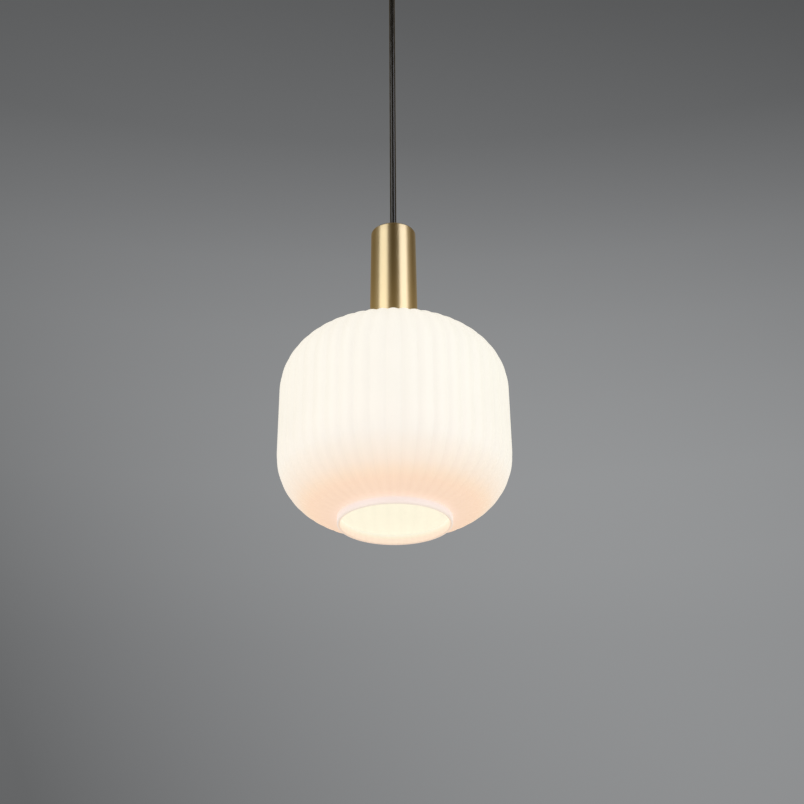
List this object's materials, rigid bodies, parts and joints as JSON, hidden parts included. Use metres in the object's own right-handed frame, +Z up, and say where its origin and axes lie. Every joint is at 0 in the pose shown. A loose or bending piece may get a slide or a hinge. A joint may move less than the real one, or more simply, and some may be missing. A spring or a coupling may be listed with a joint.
{
  "type": "pendant ceiling light",
  "caption": "Pendant light: ribbed opal glass shade, open at the bottom, under a slim brass tube, on a black flex from a brass ceiling cup.",
  "frame": {"origin": "on the ceiling plane, at the middle of the ceiling bracket's top face, on the light's own axis", "axes": "+Z up along the light's axis into the ceiling; +X along the bracket's two fixing slots; the light hangs in -Z"},
  "size_m": [0.24, 0.24, 0.77],
  "materials": {
    "opal_glass": "satin",
    "brass": "brushed",
    "black_sheath": "satin",
    "zinc_steel": "satin",
    "black_nylon": "satin",
    "white_nylon": "satin",
    "brown_core": "satin",
    "blue_core": "satin",
    "green_yellow_core": "satin",
    "black_bakelite": "gloss",
    "porcelain": "gloss",
    "copper_spring": "satin",
    "clear_silicone": "satin",
    "ivory_plastic": "satin",
    "solder": "satin",
    "black_glass": "gloss",
    "nickel": "satin",
    "white_plastic": "satin",
    "bulb_diffuser": "satin",
    "aluminium": "satin",
    "phosphor": "satin",
    "circuit_board": "satin"
  },
  "bodies": {
    "ceiling_mount": {"ceiling_bracket": "zinc_steel", "canopy_screws": "brass", "earth_screw": "brass", "earth_washer": "zinc_steel"},
    "ceiling_cup": {"canopy": "brass", "cord_grip": "black_nylon", "cord_grip_nut": "brass", "cord_grip_screw": "zinc_steel", "cable_tail": "black_sheath", "terminal_block": "white_nylon", "terminal_sleeves": "brass", "terminal_screws": "zinc_steel", "live_tail": "brown_core", "neutral_tail": "blue_core", "earth_tail": "green_yellow_core"},
    "cable_neck": {"cable_neck": "black_sheath"},
    "cable": {"cable": "black_sheath"},
    "lamp": {"tube_cover": "brass", "collar_nut": "brass", "cable_bush": "black_nylon", "hollow_rod": "zinc_steel", "rod_washer": "zinc_steel", "rod_nut": "zinc_steel", "lamp_cable": "black_sheath", "holder_cap": "black_bakelite", "holder_cap_screw": "zinc_steel", "holder_cap_nut": "zinc_steel", "earth_tag": "brass", "live_lead": "brown_core", "neutral_lead": "blue_core", "earth_lead": "green_yellow_core", "holder_body": "black_bakelite", "holder_insert": "porcelain", "screw_shell": "brass", "centre_contact": "copper_spring", "shell_contact": "copper_spring", "holder_terminals": "brass", "holder_terminal_screws": "zinc_steel", "upper_gasket": "clear_silicone"},
    "shade": {"shade_glass": "opal_glass", "lower_gasket": "clear_silicone"},
    "shade_ring": {"shade_ring": "ivory_plastic"},
    "bulb_contact": {"bulb_contact": "solder"},
    "bulb": {"bulb_insulator": "black_glass", "bulb_cap": "nickel", "bulb_body": "white_plastic", "bulb_globe": "bulb_diffuser", "bulb_board": "aluminium", "bulb_leds": "phosphor", "bulb_driver": "circuit_board"}
  },
  "joints": [
    {"name": "canopy_drop", "type": "slide", "parent": "ceiling_mount", "child": "ceiling_cup", "axis": [0, 0, -1], "range_m": [0, 0.035]},
    {"name": "swing_fore", "type": "hinge", "parent": "ceiling_cup", "child": "cable_neck", "pos_m": [0, 0, -0.036], "axis": [1, 0, 0], "range_deg": [-20, 20]},
    {"name": "swing_side", "type": "hinge", "parent": "cable_neck", "child": "cable", "pos_m": [0, 0, -0.048], "axis": [0, 1, 0], "range_deg": [-20, 20]},
    {"name": "twist", "type": "hinge", "parent": "cable", "child": "lamp", "pos_m": [0, 0, -0.42], "axis": [0, 0, 1], "range_deg": [-180, 180]},
    {"name": "shade_travel", "type": "slide", "parent": "lamp", "child": "shade", "axis": [0, 0, -1], "range_m": [0, 0.01]},
    {"name": "ring_turn", "type": "hinge", "parent": "shade", "child": "shade_ring", "pos_m": [0, 0, -0.5627], "axis": [0, 0, -1], "range_deg": [0, 1440]},
    {"name": "bulb_travel", "type": "slide", "parent": "lamp", "child": "bulb_contact", "axis": [0, 0, -1], "range_m": [0, 0.01815]},
    {"name": "bulb_turn", "type": "hinge", "parent": "bulb_contact", "child": "bulb", "pos_m": [0, 0, -0.5485], "axis": [0, 0, -1], "range_deg": [0, 1800]}
  ],
  "couplings": [
    {"joint": "ring_turn", "follows": "shade_travel", "rad_per_m": 2513.3},
    {"joint": "bulb_travel", "follows": "bulb_turn", "m_per_rad": 0.00057757}
  ]
}
